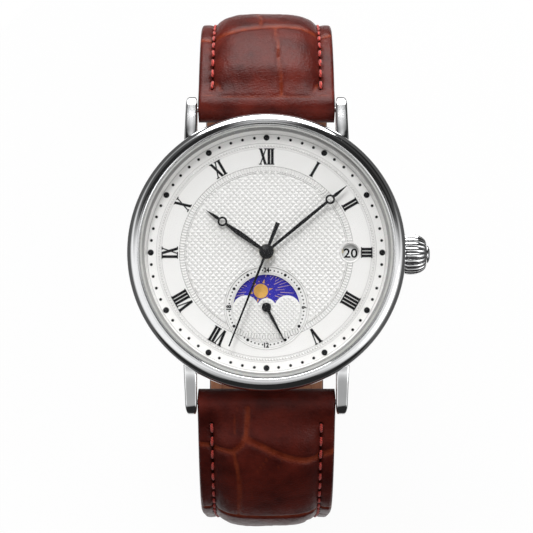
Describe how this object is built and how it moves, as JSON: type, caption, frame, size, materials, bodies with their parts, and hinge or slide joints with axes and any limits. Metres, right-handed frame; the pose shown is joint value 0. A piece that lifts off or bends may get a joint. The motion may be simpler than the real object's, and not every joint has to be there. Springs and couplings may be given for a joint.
{
  "type": "wristwatch",
  "caption": "Round dress wristwatch with Roman hours, sun and moon day dial, date window, ribbed crown and padded leather strap with a pin buckle.",
  "frame": {"origin": "centre of the caseback's outer flat face", "axes": "+Z out of the dial, +Y towards 12 o'clock, +X towards the crown at 3 o'clock"},
  "size_m": [0.0436, 0.0766, 0.0656],
  "materials": {
    "polished_steel": "mirror polished stainless steel",
    "buckle_steel": "polished steel",
    "crystal_glass": "clear domed watch crystal",
    "gasket": "nylon gasket",
    "seal_rubber": "matt black seal",
    "dial_ivory": "off-white lacquered brass with fine pattern",
    "holder_plastic": "moulded plastic",
    "plate_brass": "satin plated brass",
    "wheel_brass": "gilt brass",
    "movement_steel": "fine ground steel",
    "board": "circuit board",
    "coil_copper": "enamelled copper wire",
    "step_plastic": "moulded plastic",
    "magnet": "sintered magnet",
    "hand_black": "gloss black",
    "disc_blue": "royal blue print with gold",
    "date_white": "white print ring",
    "strap_leather": "glossy dark red-brown embossed leather",
    "strap_lining": "matt lining leather"
  },
  "bodies": {
    "case": {"case_middle": "polished_steel", "bezel": "polished_steel", "crystal": "crystal_glass", "crystal_gasket": "gasket", "caseback": "polished_steel", "caseback_gasket": "seal_rubber", "crown_tube": "polished_steel", "dial": "dial_ivory", "movement_ring": "holder_plastic", "main_plate": "plate_brass", "date_plate": "plate_brass", "train_bridge": "plate_brass", "bridge_screws": "movement_steel", "circuit_board": "board", "battery": "movement_steel", "battery_strap": "wheel_brass", "quartz_crystal": "movement_steel", "coil": "coil_copper", "stator": "movement_steel", "date_jumper": "movement_steel", "yoke": "movement_steel", "lug_bar_tube_12": "movement_steel", "lug_bar_tube_6": "movement_steel"},
    "minute": {"minute_hand": "hand_black", "cannon_pinion": "movement_steel"},
    "centre": {"centre_wheel": "wheel_brass"},
    "hour": {"hour_hand": "hand_black", "hour_wheel": "wheel_brass"},
    "seconds": {"second_hand": "hand_black", "seconds_wheel": "wheel_brass"},
    "third": {"third_wheel": "wheel_brass"},
    "step": {"step_wheel": "step_plastic"},
    "rotor": {"rotor": "magnet"},
    "minute_wheel": {"minute_wheel": "wheel_brass"},
    "day_idler": {"day_night_idler": "wheel_brass"},
    "day_night": {"day_night_wheel": "wheel_brass", "sun_moon_disc": "disc_blue", "day_hand": "hand_black"},
    "date_drive": {"date_drive_wheel": "wheel_brass"},
    "date_ring": {"date_ring": "date_white"},
    "crown_drive": {"sliding_pinion": "movement_steel"},
    "crown": {"crown": "polished_steel", "crown_button": "polished_steel", "setting_stem": "movement_steel"},
    "setting_lever": {"setting_lever": "movement_steel"},
    "tip_12_left": {"bar_tip_12_left": "movement_steel"},
    "tip_12_right": {"bar_tip_12_right": "movement_steel"},
    "tip_6_left": {"bar_tip_6_left": "movement_steel"},
    "tip_6_right": {"bar_tip_6_right": "movement_steel"},
    "strap_short": {"strap_short_leather": "strap_leather", "strap_short_lining": "strap_lining", "fixed_keeper": "strap_leather", "buckle_bar": "buckle_steel"},
    "free_keeper": {"free_keeper": "strap_leather"},
    "buckle": {"buckle_frame": "buckle_steel"},
    "tongue": {"buckle_tongue": "buckle_steel"},
    "strap_long": {"strap_long_leather": "strap_leather", "strap_long_lining": "strap_lining"}
  },
  "joints": [
    {"name": "minute_turn", "type": "hinge", "parent": "case", "child": "minute", "pos_m": [0, 0, 0.004], "axis": [0, 0, 1], "continuous": true},
    {"name": "hour_turn", "type": "hinge", "parent": "case", "child": "hour", "pos_m": [0, 0, 0.0055], "axis": [0, 0, 1], "continuous": true},
    {"name": "minute_wheel_turn", "type": "hinge", "parent": "case", "child": "minute_wheel", "pos_m": [0.00221, 0.00185, 0.0045], "axis": [0, 0, 1], "continuous": true},
    {"name": "idler_turn", "type": "hinge", "parent": "case", "child": "day_idler", "pos_m": [0, -0.00332, 0.00525], "axis": [0, 0, 1], "continuous": true},
    {"name": "day_night_turn", "type": "hinge", "parent": "case", "child": "day_night", "pos_m": [0, -0.00789, 0.00525], "axis": [0, 0, 1], "continuous": true},
    {"name": "date_drive_turn", "type": "hinge", "parent": "case", "child": "date_drive", "pos_m": [0.00452, -0.00578, 0.00525], "axis": [0, 0, 1], "continuous": true},
    {"name": "date_ring_turn", "type": "hinge", "parent": "case", "child": "date_ring", "pos_m": [0, 0, 0.005], "axis": [0, 0, 1], "continuous": true},
    {"name": "seconds_turn", "type": "hinge", "parent": "case", "child": "seconds", "pos_m": [0, 0, 0.003], "axis": [0, 0, 1], "continuous": true},
    {"name": "third_turn", "type": "hinge", "parent": "case", "child": "third", "pos_m": [-0.0024, -0.0024, 0.003], "axis": [0, 0, 1], "continuous": true},
    {"name": "centre_wheel_turn", "type": "hinge", "parent": "case", "child": "centre", "pos_m": [0, 0, 0.003], "axis": [0, 0, 1], "continuous": true},
    {"name": "step_turn", "type": "hinge", "parent": "case", "child": "step", "pos_m": [0.00335, 0, 0.003], "axis": [0, 0, 1], "continuous": true},
    {"name": "rotor_turn", "type": "hinge", "parent": "case", "child": "rotor", "pos_m": [0.0047, -0.00161, 0.003], "axis": [0, 0, 1], "continuous": true},
    {"name": "crown_turn", "type": "hinge", "parent": "case", "child": "crown_drive", "pos_m": [0.0094, 0, 0.0034], "axis": [1, 0, 0], "continuous": true},
    {"name": "crown_pull", "type": "slide", "parent": "crown_drive", "child": "crown", "axis": [1, 0, 0], "range_m": [0, 0.0016]},
    {"name": "setting_lever_swing", "type": "hinge", "parent": "case", "child": "setting_lever", "pos_m": [0.01345, 0.00341, 0.0043], "axis": [0, 0, 1], "range_deg": [0, 30.98]},
    {"name": "strap_12_swing", "type": "hinge", "parent": "case", "child": "strap_short", "pos_m": [0, 0.0212, 0.0024], "axis": [1, 0, 0], "range_deg": [-20, 60]},
    {"name": "strap_6_swing", "type": "hinge", "parent": "case", "child": "strap_long", "pos_m": [0, -0.0212, 0.0024], "axis": [-1, 0, 0], "range_deg": [0, 60]},
    {"name": "free_keeper_slide", "type": "slide", "parent": "strap_short", "child": "free_keeper", "axis": [0, -1, 0], "range_m": [-0.0045, 0.0045]},
    {"name": "buckle_swing", "type": "hinge", "parent": "strap_short", "child": "buckle", "pos_m": [0, -0.00532, -0.03527], "axis": [-1, 0, 0], "range_deg": [-40, 40]},
    {"name": "tongue_swing", "type": "hinge", "parent": "buckle", "child": "tongue", "pos_m": [0, -0.00532, -0.03527], "axis": [1, 0, 0], "range_deg": [0, 100]},
    {"name": "bar_tip_12_left_press", "type": "slide", "parent": "case", "child": "tip_12_left", "axis": [1, 0, 0], "range_m": [0, 0.0008], "stiffness_N_per_m": 500, "springref_m": -0.002},
    {"name": "bar_tip_12_right_press", "type": "slide", "parent": "case", "child": "tip_12_right", "axis": [-1, 0, 0], "range_m": [0, 0.0008], "stiffness_N_per_m": 500, "springref_m": -0.002},
    {"name": "bar_tip_6_left_press", "type": "slide", "parent": "case", "child": "tip_6_left", "axis": [1, 0, 0], "range_m": [0, 0.0008], "stiffness_N_per_m": 500, "springref_m": -0.002},
    {"name": "bar_tip_6_right_press", "type": "slide", "parent": "case", "child": "tip_6_right", "axis": [-1, 0, 0], "range_m": [0, 0.0008], "stiffness_N_per_m": 500, "springref_m": -0.002}
  ],
  "couplings": [
    {"joint": "hour_turn", "follows": "minute_turn", "ratio": 0.083333},
    {"joint": "minute_wheel_turn", "follows": "minute_turn", "ratio": -0.33333},
    {"joint": "idler_turn", "follows": "minute_turn", "ratio": -0.05},
    {"joint": "day_night_turn", "follows": "minute_turn", "ratio": 0.041667},
    {"joint": "date_drive_turn", "follows": "minute_turn", "ratio": -0.041667},
    {"joint": "date_ring_turn", "follows": "minute_turn", "ratio": -0.0013441},
    {"joint": "third_turn", "follows": "seconds_turn", "ratio": -0.125},
    {"joint": "centre_wheel_turn", "follows": "seconds_turn", "ratio": 0.016667},
    {"joint": "step_turn", "follows": "seconds_turn", "ratio": -5},
    {"joint": "rotor_turn", "follows": "seconds_turn", "ratio": 30},
    {"joint": "setting_lever_swing", "follows": "crown_pull", "rad_per_m": 337.42}
  ]
}
